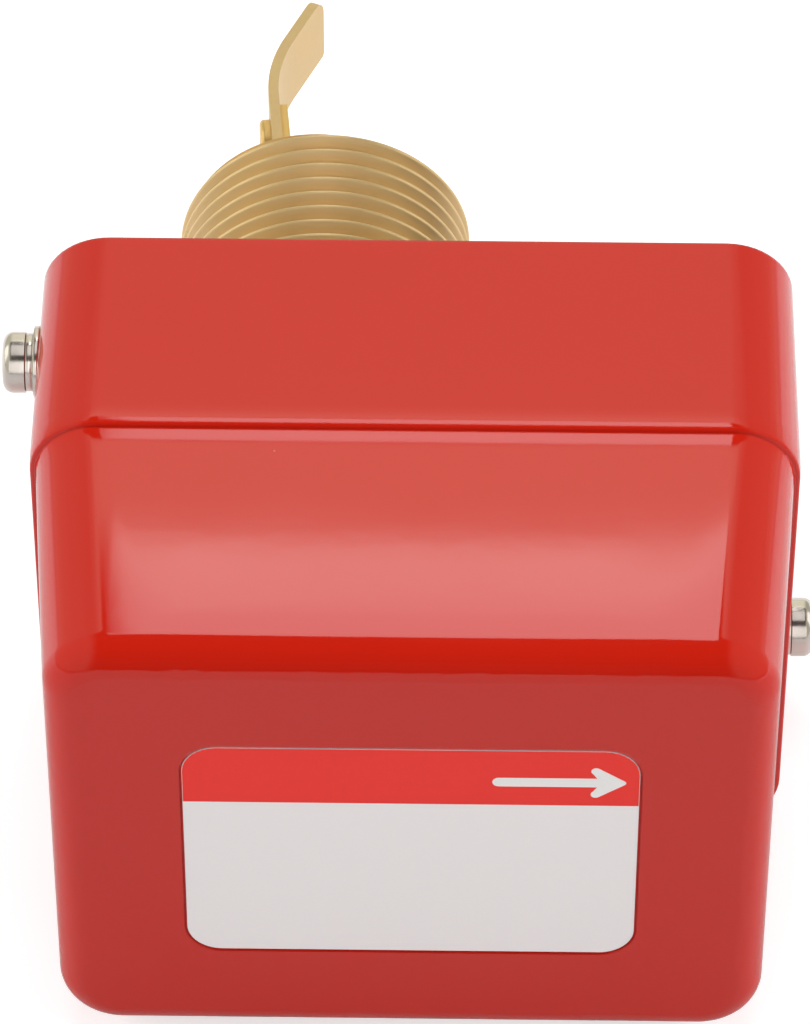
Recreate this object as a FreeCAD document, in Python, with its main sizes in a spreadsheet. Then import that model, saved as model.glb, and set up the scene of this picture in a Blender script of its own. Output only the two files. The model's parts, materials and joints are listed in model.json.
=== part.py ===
import FreeCAD, Part
import math
import os
import Sketcher
from FreeCAD import Placement, Rotation, Vector

# A paddle flow switch with a one-inch pipe thread, in millimetres.
# +X is the flow direction, +Y runs out of the pipe thread towards the paddle and +Z is up
# when the switch lies on its back wall. The origin is the centre of the thread's shoulder.

# Driving dimensions. Every other size and place is worked out from these.
sizes = {
    # cover: a deep tray with a proud skirt round its open end
    "coverWidth": 80.4, "coverDepth": 61.8, "coverHeight": 59.4, "coverWall": 1.2,
    "skirtHeight": 28.0, "skirtStep": 0.7, "ledgeRound": 0.3, "sideDraft": 4.5, "backDraft": 2.15,
    "cornerRadius": 7.4, "faceFillet": 3.6, "coverShift": 10.9,
    # label on the cover's end face
    "labelWidth": 46.7, "labelHeight": 31.4, "labelThick": 0.25, "labelCorner": 3.6,
    "labelRecess": 0.35, "labelGap": 0.25,
    # cover screws, one in each side wall, diagonally opposite
    "coverScrewRadius": 1.75, "coverHeadRadius": 3.3, "coverHeadHeight": 2.4,
    "coverScrewLength": 9.0, "coverScrewInset": 8.0, "coverScrewCorner": 10.9,
    "coverHoleRadius": 2.2, "lockWasherRadius": 3.15, "lockWasherThick": 0.9, "lockWasherSlit": 0.6,
    "flatWasherRadius": 3.95, "flatWasherThick": 0.7, "weldNutAcross": 6.5, "weldNutThick": 3.0,
    # brass pipe fitting
    "threadRadius": 16.4, "threadLength": 23.1, "threadChamfer": 0.9, "threadPitch": 2.309,
    "threadDepth": 1.48, "threadLand": 0.5, "mouthBore": 11.0, "rearBore": 8.0,
    "mouthBoreDepth": 26.0, "hexAcross": 36.0, "hexLength": 11.5, "hexLand": 0.1,
    "hexBevel": 30.0, "spigotRadius": 10.5,
    # base pan inside the skirt, with the cable entry
    "baseThick": 1.6, "baseRecess": 0.5, "baseGap": 0.3, "flangeHeight": 14.0, "baseBend": 2.2,
    "cableSide": 16.1, "cableRise": 6.0, "cableHoleRadius": 10.75, "cableBore": 5.0,
    "grommetLip": 2.2, "grommetOver": 2.4, "grommetSlope": 1.0,
    # screws that hold the fitting and the bracket to the base
    "fixingCircle": 14.5, "fixingRadius": 2.0, "fixingHead": 3.5, "fixingHeadHeight": 2.6,
    "fixingDepth": 8.0, "screwSpare": 1.0,
    # bracket: a channel whose lower cheek carries the microswitch and the range screw
    "bracketThick": 1.5, "bracketFoot": 31.0, "cheekInside": 14.5, "upperCheekWidth": 12.0,
    "pivotRise": 5.9, "cheekPast": 5.5, "plateEdge": 2.0, "plateSlope": 6.0,
    # pivot pins and rocker
    "pinRadius": 1.5, "pinHead": 2.8, "pinHeadHeight": 1.1, "pinPast": 0.4, "rockerThick": 1.5,
    "rockerGap": 0.5, "rockerHalf": 5.0, "rockerEye": 4.0, "tailOffset": 6.5, "tailWidth": 8.0,
    "armWidth": 8.0,
    # bellows, its end cap and the lever
    "bellowsOuter": 9.5, "bellowsInner": 6.6, "bellowsSkin": 0.3, "bellowsLength": 11.9,
    "bellowsCuff": 0.7, "bellowsWaves": 4, "capRadius": 9.0, "capThick": 1.5, "leverRadius": 3.0,
    "leverLean": 5.3, "leverShift": 1.0, "leverLength": 68.6, "leverFoot": 0.6,
    "shoulderHeight": 3.2, "shoulderRadius": 4.4, "tongueThick": 0.95, "tongueLength": 14.5,
    "studRadius": 2.5, "studNutAcross": 8.0, "studNutThick": 3.6,
    # paddle leaf
    "leafThick": 1.2, "leafWidth": 8.9, "leafOverlap": 13.0, "leafStraight": 0.2, "leafBend": 19.4,
    "leafLean": 28.5, "leafTip": 8.4, "leafCorner": 2.2, "leafCornerLow": 0.6,
    "leafScrewRadius": 1.5, "leafHead": 2.8, "leafHeadHeight": 1.2, "leafScrewPitch": 6.5,
    "leafScrewInset": 3.3,
    # range spring, screw and travelling nut
    "rangeDepth": 30.5, "rangeScrewRadius": 2.0, "rangeHead": 3.6, "rangeHeadHeight": 2.2,
    "rangeTab": 14.0, "rangeScrewLength": 12.0, "clipThick": 0.8, "springLength": 9.4,
    "springRadius": 3.2, "springWire": 0.35, "springTurns": 4.5, "rangeNutThick": 2.0,
    "rangeNutWidth": 9.0, "rangeTabWidth": 12.0,
    # microswitch
    "switchLength": 49.2, "switchWidth": 17.4, "switchHeight": 17.0, "switchLid": 3.0,
    "switchCorner": 1.0, "switchStart": -2.4, "switchDepth": 6.4, "plungerRadius": 2.0,
    "plungerShift": 22.0, "plungerReach": 4.4, "plungerTravel": 1.8, "plungerDome": 0.5,
    "bushWall": 1.6, "bushRise": 3.2,
    "mountPitch": 25.4, "mountRadius": 2.05, "insulatorThick": 0.5, "insulatorInset": 2.5,
    "switchScrewPast": 1.6, "terminalPitch": 16.4, "terminalWidth": 8.0, "terminalThick": 1.0,
    "terminalScrew": 1.9, "terminalHead": 3.4, "terminalHeadHeight": 2.3,
    # earth screw on the base
    "earthSide": 23.1, "earthCorner": 9.9, "earthRadius": 2.0, "earthHead": 3.6,
    "earthHeadHeight": 2.6, "earthWasher": 4.6, "earthWasherThick": 0.9,
    # clearances
    "runGap": 0.05, "pressGap": 0.02, "looseGap": 0.25, "touchGap": 0.06,
    # how far a cut runs past the face that it opens
    "cutPast": 1.0,
}

# Places and sizes worked out from the driving dimensions, as formulas of the document.
places = {
    "baseOuter": "-Sizes.hexLength",
    "rim": "Places.baseOuter + Sizes.baseRecess",
    "webInner": "Places.baseOuter - Sizes.baseThick",
    "foot": "Places.webInner - Sizes.bracketThick",
    "pivot": "Places.foot - Sizes.pivotRise",
    "bellowsEnd": "Places.foot - Sizes.bellowsLength",
    "capBack": "Places.bellowsEnd - Sizes.capThick",
    "rockerBack": "Places.capBack - Sizes.rockerThick",
    "skirtEnd": "Places.rim - Sizes.skirtHeight",
    "coverFace": "Places.rim - Sizes.coverHeight",
    "rangeAxis": "Places.pivot - Sizes.rangeDepth",
    "rockerInside": "Sizes.cheekInside - Sizes.rockerGap - Sizes.rockerThick",
    "tailFace": "-Sizes.tailOffset",
    "plateTop": "-Sizes.cheekInside",
    "switchBottom": "Places.plateTop + Sizes.insulatorThick",
    "switchMiddle": "Places.switchBottom + Sizes.switchWidth / 2",
    "switchFront": "Places.rockerBack - Sizes.switchDepth",
    "switchBack": "Places.switchFront - Sizes.switchHeight",
    "plungerX": "Sizes.switchStart + Sizes.plungerShift",
    "switchCentre": "Sizes.switchStart + Sizes.switchLength / 2",
    "screwY": "Places.rim - Sizes.coverScrewInset",
    "screwZ": "Sizes.coverDepth / 2 - Sizes.coverScrewCorner",
    "cableX": "Sizes.coverShift + Sizes.coverWidth / 2 - Sizes.cableSide",
    "earthX": "Sizes.coverShift + Sizes.coverWidth / 2 - Sizes.earthSide",
    "earthZ": "Sizes.earthCorner - Sizes.coverDepth / 2",
    "springBack": "Places.tailFace - Sizes.springLength - Sizes.touchGap * 2",
    "tabFace": "-Sizes.tailOffset - Sizes.rangeTab",
    "baseHalfWidth": "Sizes.coverWidth / 2 - Sizes.coverWall - Sizes.baseGap",
    "baseHalfDepth": "Sizes.coverDepth / 2 - Sizes.coverWall - Sizes.baseGap",
    "nutHalf": "Sizes.rangeNutWidth / 2",
}

doc = FreeCAD.newDocument("PaddleFlowSwitch")
parts = {}


def makeSheet(name, cells):
    sheet = doc.addObject("Spreadsheet::Sheet", name)
    for row, (alias, content) in enumerate(cells.items(), 1):
        sheet.set("A%d" % row, alias)
        sheet.set("B%d" % row, content if isinstance(content, str) else repr(content))
        sheet.setAlias("B%d" % row, alias)
    return sheet


makeSheet("Sizes", sizes)
makeSheet("Places", {alias: "=" + formula.replace("Places.", "") for alias, formula in places.items()})
doc.recompute()
probe = doc.addObject("App::FeaturePython", "Probe")


def value(expression):
    result = probe.evalExpression(str(expression))
    return float(getattr(result, "Value", result))


def bind(thing, **expressions):
    for name, expression in expressions.items():
        thing.setExpression(name.replace("_", "."), str(expression))
    return thing


def keep(label, thing, at=Placement()):
    thing.Label = label
    if at != Placement():
        thing.Placement = at.multiply(thing.Placement)
    parts[label] = thing
    return thing


# ---- sketch and feature helpers ----

def newBody(label):
    return doc.addObject("PartDesign::Body", label)


def newSketch(owner, plane, depth="0"):
    sketch = owner.newObject("Sketcher::SketchObject", owner.Name + "Sketch")
    support = [item for item in owner.Origin.OriginFeatures if item.Role == plane][0]
    sketch.AttachmentSupport = [(support, "")]
    sketch.MapMode = "FlatFace"
    sketch.setExpression("AttachmentOffset.Base.z", str(depth))
    return sketch


def pinPoint(sketch, edge, end, x, y):
    """Hold one end of an edge at a place given by two expressions."""
    for kind, expression in (("DistanceX", x), ("DistanceY", y)):
        index = sketch.addConstraint(Sketcher.Constraint(kind, -1, 1, edge, end, value(expression)))
        sketch.setExpression("Constraints[%d]" % index, str(expression))


def outline(sketch, points, bends={}):
    """Closed outline. bends gives the centre and the sense of each edge that is an arc."""
    count = len(points)
    spots = [Vector(value(x), value(y), 0) for x, y in points]
    edges = []
    for i in range(count):
        first, last = spots[i], spots[(i + 1) % count]
        if i in bends:
            middle = Vector(value(bends[i][0]), value(bends[i][1]), 0)
            start, end = (last, first) if bends[i][2] == "right" else (first, last)
            angle = math.atan2(start.y - middle.y, start.x - middle.x)
            sweep = (math.atan2(end.y - middle.y, end.x - middle.x) - angle) % (2 * math.pi)
            radius = (first - middle).Length
            crest = middle + Vector(math.cos(angle + sweep / 2), math.sin(angle + sweep / 2), 0) * radius
            edges.append(sketch.addGeometry(Part.Arc(start, crest, end), False))
        else:
            edges.append(sketch.addGeometry(Part.LineSegment(first, last), False))
    for i in range(count):
        before = (i - 1) % count
        beforeEnd = 1 if before in bends and bends[before][2] == "right" else 2
        ownStart = 2 if i in bends and bends[i][2] == "right" else 1
        sketch.addConstraint(Sketcher.Constraint("Coincident", edges[before], beforeEnd, edges[i], ownStart))
        if i in bends:
            pinPoint(sketch, edges[before], beforeEnd, *points[i])
            chord = spots[(i + 1) % count] - spots[i]
            isWide = abs(chord.x) > abs(chord.y)
            kind, centre = ("DistanceY", bends[i][1]) if isWide else ("DistanceX", bends[i][0])
            index = sketch.addConstraint(Sketcher.Constraint(kind, -1, 1, edges[i], 3, value(centre)))
            sketch.setExpression("Constraints[%d]" % index, str(centre))
        else:
            pinPoint(sketch, edges[i], ownStart, *points[i])
    return sketch


def slabOutline(sketch, x, y, halfWidth, halfHeight):
    """Plain rectangle about a centre."""
    low, high = "%s - (%s)" % (x, halfWidth), "%s + (%s)" % (x, halfWidth)
    down, up = "%s - (%s)" % (y, halfHeight), "%s + (%s)" % (y, halfHeight)
    return outline(sketch, [(low, down), (high, down), (high, up), (low, up)])


def roundOutline(sketch, x, y, halfWidth, halfHeight, corner):
    """Rectangle with round corners about a centre."""
    points, bends = [], {}
    for signX, signY in ((1, -1), (1, 1), (-1, 1), (-1, -1)):
        outX = "%s + %d * (%s)" % (x, signX, halfWidth)
        inX = "%s + %d * (%s - (%s))" % (x, signX, halfWidth, corner)
        outY = "%s + %d * (%s)" % (y, signY, halfHeight)
        inY = "%s + %d * (%s - (%s))" % (y, signY, halfHeight, corner)
        bends[len(points)] = (inX, inY, "left")
        points += [(inX, outY), (outX, inY)] if signX * signY < 0 else [(outX, inY), (inX, outY)]
    return outline(sketch, points, bends)


def circle(sketch, x, y, radius):
    form = Part.Circle(Vector(value(x), value(y), 0), Vector(0, 0, 1), value(radius))
    edge = sketch.addGeometry(form, False)
    pinPoint(sketch, edge, 3, x, y)
    index = sketch.addConstraint(Sketcher.Constraint("Radius", edge, value(radius)))
    sketch.setExpression("Constraints[%d]" % index, str(radius))
    return sketch


def feature(owner, kind, sketch, **settings):
    """Pad, Pocket, Revolution or Groove of one sketch, with bound lengths."""
    thing = owner.newObject("PartDesign::" + kind, owner.Name + kind)
    thing.Profile = sketch
    for name, setting in settings.items():
        if isinstance(setting, str) and name in ("Length", "Angle"):
            thing.setExpression(name, setting)
        else:
            setattr(thing, name, setting)
    sketch.Visibility = False
    doc.recompute()
    return thing


def pad(owner, sketch, length, **settings):
    return feature(owner, "Pad", sketch, Length=str(length), **settings)


def pocket(owner, sketch, length=None, **settings):
    if length is None:
        return feature(owner, "Pocket", sketch, Type="ThroughAll", Midplane=True, **settings)
    return feature(owner, "Pocket", sketch, Length=str(length), **settings)


def turned(owner, sketch, kind="Revolution"):
    return feature(owner, kind, sketch, ReferenceAxis=(sketch, ["V_Axis"]), Angle="360")


def soften(owner, kind, size, chosen):
    """Fillet or chamfer on the edges that a test picks."""
    doc.recompute()
    base = owner.Tip
    names = ["Edge%d" % n for n, edge in enumerate(base.Shape.Edges, 1) if chosen(edge)]
    thing = owner.newObject("PartDesign::" + kind, owner.Name + kind)
    thing.Base = (base, names)
    thing.setExpression("Radius" if kind == "Fillet" else "Size", str(size))
    doc.recompute()
    return thing


def isAlong(edge, axis):
    """True for a straight edge that runs nearly along an axis."""
    if edge.Curve.TypeId != "Part::GeomLine":
        return False
    return abs(edge.tangentAt(edge.FirstParameter).dot(axis)) > 0.95


def isAtY(edge, y):
    return all(abs(vertex.Y - y) < 1e-4 for vertex in edge.Vertexes)


alongX, alongY, alongZ = Vector(1, 0, 0), Vector(0, 1, 0), Vector(0, 0, 1)
turns = {
    "+x": Rotation(alongY, 90), "-x": Rotation(alongY, -90), "+y": Rotation(alongX, -90),
    "-y": Rotation(alongX, 90), "+z": Rotation(), "-z": Rotation(alongX, 180),
}


def put(thing, x, y, z, direction="+z"):
    """Stand a thing that was made along +Z at a place, pointing along a direction."""
    thing.Placement = Placement(Vector(value(x), value(y), value(z)), turns[direction])
    return bind(thing, Placement_Base_x=x, Placement_Base_y=y, Placement_Base_z=z)


def cylinder(radius, length, x, y, z, direction="+z"):
    thing = doc.addObject("Part::Cylinder", "Cylinder")
    bind(thing, Radius=radius, Height=length)
    return put(thing, x, y, z, direction)


def box(lowX, highX, lowY, highY, lowZ, highZ):
    thing = doc.addObject("Part::Box", "Box")
    bind(thing, Length="%s - (%s)" % (highX, lowX), Width="%s - (%s)" % (highY, lowY),
         Height="%s - (%s)" % (highZ, lowZ))
    return put(thing, lowX, lowY, lowZ)


def prism(across, length, x, y, z, direction):
    """Hexagonal prism given by its size across flats."""
    thing = doc.addObject("Part::Prism", "Prism")
    thing.Polygon = 6
    bind(thing, Circumradius="%s / sqrt(3)" % across, Height=length)
    return put(thing, x, y, z, direction)


def joined(things):
    thing = doc.addObject("Part::MultiFuse", "Fuse")
    thing.Shapes = things
    return thing


def cutFrom(base, tools):
    thing = doc.addObject("Part::Cut", "Cut")
    thing.Base = base
    thing.Tool = tools[0] if len(tools) == 1 else joined(tools)
    return thing


def group(label, things):
    """Several like pieces that share one node."""
    thing = doc.addObject("Part::Compound", "Group")
    thing.Links = things
    return keep(label, thing)


def ring(outer, inner, thick, x, y, z, direction):
    return cutFrom(cylinder(outer, thick, x, y, z, direction), [cylinder(inner, thick, x, y, z, direction)])


crownShare = 0.45


def panScrew(radius, length, head, headHeight, x, y, z, direction, isRound=False):
    """Pan-head screw: the seat of its head is at the place, the head points along the direction."""
    owner = newBody("Screw")
    sketch = newSketch(owner, "XZ_Plane")
    crown = "(%s) * %s" % (headHeight, crownShare)
    outline(sketch, [("0", "-(%s)" % length), (radius, "-(%s)" % length), (radius, "0"), (head, "0"),
                     (head, "%s - %s" % (headHeight, crown)), ("%s - %s" % (head, crown), headHeight),
                     ("0", headHeight)],
            {4: ("%s - %s" % (head, crown), "%s - %s" % (headHeight, crown), "left")} if isRound else {})
    turned(owner, sketch)
    return put(owner, x, y, z, direction)


# ---- cover and label ----

def tray(name, inset):
    """Solid form of the cover, or of its hollow when inset is the wall."""
    owner = newBody(name)
    upper = "(Sizes.skirtStep + %s)" % inset
    height = "(Sizes.coverHeight - Sizes.skirtHeight - %s)" % inset
    halfWidth, halfDepth = "Sizes.coverWidth / 2", "Sizes.coverDepth / 2"
    base = newSketch(owner, "XZ_Plane", "-Places.rim")
    roundOutline(base, "Sizes.coverShift", "0", "%s - %s" % (halfWidth, inset),
                 "%s - %s" % (halfDepth, inset), "Sizes.cornerRadius - %s" % inset)
    pad(owner, base, "Sizes.skirtHeight")
    ledge = value("Places.skirtEnd")
    soften(owner, "Fillet", "Sizes.ledgeRound", lambda edge: isAtY(edge, ledge))
    corner = "Sizes.cornerRadius - %s" % upper
    foot = newSketch(owner, "XZ_Plane", "-Places.skirtEnd")
    roundOutline(foot, "Sizes.coverShift", "0", "%s - %s" % (halfWidth, upper),
                 "%s - %s" % (halfDepth, upper), corner)
    head = newSketch(owner, "XZ_Plane", "-Places.coverFace - %s" % inset)
    roundOutline(head, "Sizes.coverShift", "0",
                 "%s - %s - %s * tan(Sizes.sideDraft)" % (halfWidth, upper, height),
                 "%s - %s - %s * tan(Sizes.backDraft)" % (halfDepth, upper, height), corner)
    loft = owner.newObject("PartDesign::AdditiveLoft", name + "Loft")
    loft.Profile = foot
    loft.Sections = [head]
    loft.Ruled = True
    doc.recompute()
    face = value("Places.coverFace + %s" % inset)
    soften(owner, "Fillet", "Sizes.faceFillet - %s" % inset, lambda edge: isAtY(edge, face))
    return owner


def facePlate(name, grow, depth, thick):
    """Flat plate with round corners on the cover's end face."""
    owner = newBody(name)
    sketch = newSketch(owner, "XZ_Plane", depth)
    roundOutline(sketch, "Sizes.coverShift", "0", "Sizes.labelWidth / 2 + %s" % grow,
                 "Sizes.labelHeight / 2 + %s" % grow, "Sizes.labelCorner + %s" % grow)
    pad(owner, sketch, thick)
    return owner


leftWall = "Sizes.coverShift - Sizes.coverWidth / 2"
rightWall = "Sizes.coverShift + Sizes.coverWidth / 2"
screwSides = (
    {"wall": leftWall, "sign": "-1", "out": "-x", "inward": "+x", "rise": "Places.screwZ"},
    {"wall": rightWall, "sign": "1", "out": "+x", "inward": "-x", "rise": "-Places.screwZ"},
)


def makeCover():
    outer = tray("CoverForm", "0")
    hollow = tray("CoverHollow", "Sizes.coverWall")
    recess = facePlate("LabelRecess", "Sizes.labelGap", "-Places.coverFace - Sizes.labelRecess",
                       "Sizes.labelRecess + Sizes.cutPast")
    holes = [cylinder("Sizes.coverHoleRadius", "Sizes.coverWall * 4",
                      "%s - (%s) * 2 * Sizes.coverWall" % (side["wall"], side["sign"]),
                      "Places.screwY", side["rise"], side["out"]) for side in screwSides]
    keep("cover", cutFrom(outer, [hollow, recess] + holes))
    keep("label", facePlate("Label", "0", "-Places.coverFace - Sizes.labelRecess", "Sizes.labelThick"))


# ---- base pan with its weld nuts, cable grommet and earth screw ----

def makeBase():
    owner = newBody("BasePan")
    corner = "Sizes.cornerRadius - Sizes.coverWall - Sizes.baseGap"
    outer = newSketch(owner, "XZ_Plane", "-Places.baseOuter")
    roundOutline(outer, "Sizes.coverShift", "0", "Places.baseHalfWidth", "Places.baseHalfDepth", corner)
    pad(owner, outer, "Sizes.flangeHeight")
    outerY = value("Places.baseOuter")
    soften(owner, "Fillet", "Sizes.baseBend", lambda edge: isAtY(edge, outerY))
    inner = newSketch(owner, "XZ_Plane", "-Places.webInner")
    roundOutline(inner, "Sizes.coverShift", "0", "Places.baseHalfWidth - Sizes.baseThick",
                 "Places.baseHalfDepth - Sizes.baseThick", "%s - Sizes.baseThick" % corner)
    pocket(owner, inner, "Sizes.flangeHeight", Reversed=True)
    holes = newSketch(owner, "XZ_Plane", "-Places.baseOuter")
    circle(holes, "0", "0", "Sizes.spigotRadius + Sizes.looseGap")
    circle(holes, "Places.cableX", "Sizes.cableRise", "Sizes.cableHoleRadius")
    for x, z in fixingSpots:
        circle(holes, x, z, "Sizes.fixingRadius + Sizes.looseGap")
    circle(holes, "Places.earthX", "Places.earthZ", "Sizes.earthRadius + Sizes.pressGap")
    pocket(owner, holes, "Sizes.baseThick", Reversed=True)
    screwHoles = [cylinder("Sizes.coverScrewRadius + Sizes.looseGap", "Sizes.baseThick * 5",
                           "%s - (%s) * 5 * Sizes.baseThick" % (side["wall"], side["sign"]),
                           "Places.screwY", side["rise"], side["out"]) for side in screwSides]
    keep("base_pan", cutFrom(owner, screwHoles))
    nuts = []
    for side in screwSides:
        wallDepth = "(Sizes.coverWall + Sizes.baseGap + Sizes.baseThick)"
        seat = "%s - (%s) * %s" % (side["wall"], side["sign"], wallDepth)
        nut = prism("Sizes.weldNutAcross", "Sizes.weldNutThick", seat, "Places.screwY", side["rise"],
                    side["inward"])
        hole = cylinder("Sizes.coverScrewRadius + Sizes.pressGap", "Sizes.weldNutThick", seat,
                        "Places.screwY", side["rise"], side["inward"])
        nuts.append(cutFrom(nut, [hole]))
    group("weld_nuts", nuts)


def washerSlit(side, seat):
    """Cut through the lower side of a split washer."""
    far = "%s + (%s) * Sizes.lockWasherThick" % (seat, side["sign"])
    low, high = (far, seat) if side["sign"] == "-1" else (seat, far)
    half = "Sizes.lockWasherSlit / 2"
    return box(low, high, "Places.screwY - Sizes.lockWasherRadius - Sizes.cutPast", "Places.screwY",
               "%s - %s" % (side["rise"], half), "%s + %s" % (side["rise"], half))


def makeCoverScrews():
    screws, lockWashers, flatWashers = [], [], []
    for side in screwSides:
        place = ("Places.screwY", side["rise"], side["out"])
        flatWashers.append(ring("Sizes.flatWasherRadius", "Sizes.coverScrewRadius + Sizes.looseGap",
                                "Sizes.flatWasherThick", side["wall"], *place))
        lockSeat = "%s + (%s) * Sizes.flatWasherThick" % (side["wall"], side["sign"])
        whole = ring("Sizes.lockWasherRadius", "Sizes.coverScrewRadius + Sizes.looseGap",
                     "Sizes.lockWasherThick", lockSeat, *place)
        lockWashers.append(cutFrom(whole, [washerSlit(side, lockSeat)]))
        headSeat = "%s + (%s) * Sizes.lockWasherThick" % (lockSeat, side["sign"])
        screws.append(panScrew("Sizes.coverScrewRadius", "Sizes.coverScrewLength", "Sizes.coverHeadRadius",
                               "Sizes.coverHeadHeight", headSeat, *place, isRound=True))
    group("cover_screws", screws)
    group("cover_lock_washers", lockWashers)
    group("cover_flat_washers", flatWashers)


def makeGrommet():
    owner = newBody("Grommet")
    sketch = newSketch(owner, "XY_Plane")
    neck = "Sizes.cableHoleRadius - Sizes.pressGap"
    lip = "Sizes.cableHoleRadius + Sizes.grommetLip"
    outline(sketch, [("Sizes.cableBore", "Places.webInner - Sizes.grommetOver"),
                     (lip, "Places.webInner - Sizes.grommetOver"), (lip, "Places.webInner"),
                     (neck, "Places.webInner"), (neck, "Places.baseOuter"), (lip, "Places.baseOuter"),
                     ("%s - Sizes.grommetSlope" % lip, "Places.baseOuter + Sizes.grommetOver"),
                     ("Sizes.cableBore", "Places.baseOuter + Sizes.grommetOver")])
    turned(owner, sketch)
    keep("cable_grommet", put(owner, "Places.cableX", "0", "Sizes.cableRise"))


def makeEarthScrew():
    seat = "Places.webInner"
    place = ("Places.earthX", seat, "Places.earthZ", "-y")
    keep("earth_washer", ring("Sizes.earthWasher", "Sizes.earthRadius + Sizes.looseGap",
                              "Sizes.earthWasherThick", *place))
    length = "Sizes.earthWasherThick + Sizes.baseThick + Sizes.screwSpare"
    keep("earth_screw", panScrew("Sizes.earthRadius", length, "Sizes.earthHead", "Sizes.earthHeadHeight",
                                 "Places.earthX", "%s - Sizes.earthWasherThick" % seat,
                                 "Places.earthZ", "-y"))


# ---- brass pipe fitting and the screws that hold it ----

fixingSpots = [("%d * Sizes.fixingCircle / sqrt(2)" % x, "%d * Sizes.fixingCircle / sqrt(2)" % z)
               for x, z in ((1, 1), (-1, 1), (-1, -1), (1, -1))]


def threadRings(owner):
    """Grooves of the thread's pitch and depth, one for each turn, as rings."""
    middle = "(Sizes.threadPitch / 2)"
    half = "((Sizes.threadPitch - Sizes.threadLand) / 2)"
    past = "Sizes.threadRadius + Sizes.cutPast"
    form = newSketch(owner, "XY_Plane")
    outline(form, [("Sizes.threadRadius - Sizes.threadDepth", middle),
                   ("Sizes.threadRadius", "%s - %s" % (middle, half)), (past, "%s - %s" % (middle, half)),
                   (past, "%s + %s" % (middle, half)), ("Sizes.threadRadius", "%s + %s" % (middle, half))])
    cut = turned(owner, form, "Groove")
    turns = int(sizes["threadLength"] / sizes["threadPitch"])
    rings = owner.newObject("PartDesign::LinearPattern", "ThreadRings")
    rings.Originals = [cut]
    rings.Direction = (form, ["V_Axis"])
    rings.Occurrences = turns
    rings.setExpression("Length", "%d * Sizes.threadPitch" % (turns - 1))
    owner.Tip = rings
    doc.recompute()


def makeFitting():
    owner = newBody("Fitting")
    flats = newSketch(owner, "XZ_Plane")
    corner = "Sizes.hexAcross / sqrt(3)"
    outline(flats, [("%s * %s" % (corner, round(math.cos(math.radians(60 * k)), 6)),
                     "%s * %s" % (corner, round(math.sin(math.radians(60 * k)), 6))) for k in range(6)])
    pad(owner, flats, "Sizes.hexLength")
    turning = newSketch(owner, "XY_Plane")
    chamferStart = "Sizes.threadLength - Sizes.threadChamfer"
    outline(turning, [("0", "Places.foot"), ("Sizes.spigotRadius", "Places.foot"),
                      ("Sizes.spigotRadius", "0"), ("Sizes.threadRadius", "0"),
                      ("Sizes.threadRadius", chamferStart),
                      ("Sizes.threadRadius - Sizes.threadChamfer", "Sizes.threadLength"),
                      ("0", "Sizes.threadLength")])
    turned(owner, turning)
    threadRings(owner)
    corners = newSketch(owner, "XY_Plane")
    rimRadius = "(Sizes.hexAcross / 2 + Sizes.hexLand)"
    past = "(%s + Sizes.cutPast)" % corner
    outline(corners, [(rimRadius, "0"), (past, "0"),
                      (past, "(%s - %s) * tan(Sizes.hexBevel)" % (rimRadius, past))])
    turned(owner, corners, "Groove")
    bore = newSketch(owner, "XY_Plane")
    step = "Sizes.threadLength - Sizes.mouthBoreDepth"
    outline(bore, [("0", "Places.foot"), ("Sizes.rearBore", "Places.foot"), ("Sizes.rearBore", step),
                   ("Sizes.mouthBore", step), ("Sizes.mouthBore", "Sizes.threadLength"),
                   ("0", "Sizes.threadLength")])
    turned(owner, bore, "Groove")
    holes = newSketch(owner, "XZ_Plane", "-Places.baseOuter")
    for x, z in fixingSpots:
        circle(holes, x, z, "Sizes.fixingRadius + Sizes.pressGap")
    pocket(owner, holes, "Sizes.fixingDepth")
    keep("pipe_fitting", owner)
    length = "Sizes.bracketThick + Sizes.baseThick + Sizes.fixingDepth - Sizes.screwSpare"
    group("fixing_screws", [panScrew("Sizes.fixingRadius", length, "Sizes.fixingHead",
                                     "Sizes.fixingHeadHeight", x, "Places.foot", z, "-y")
                            for x, z in fixingSpots])


# ---- bracket: foot on the base, upper cheek with a pivot eye, lower cheek as the switch plate ----

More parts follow.
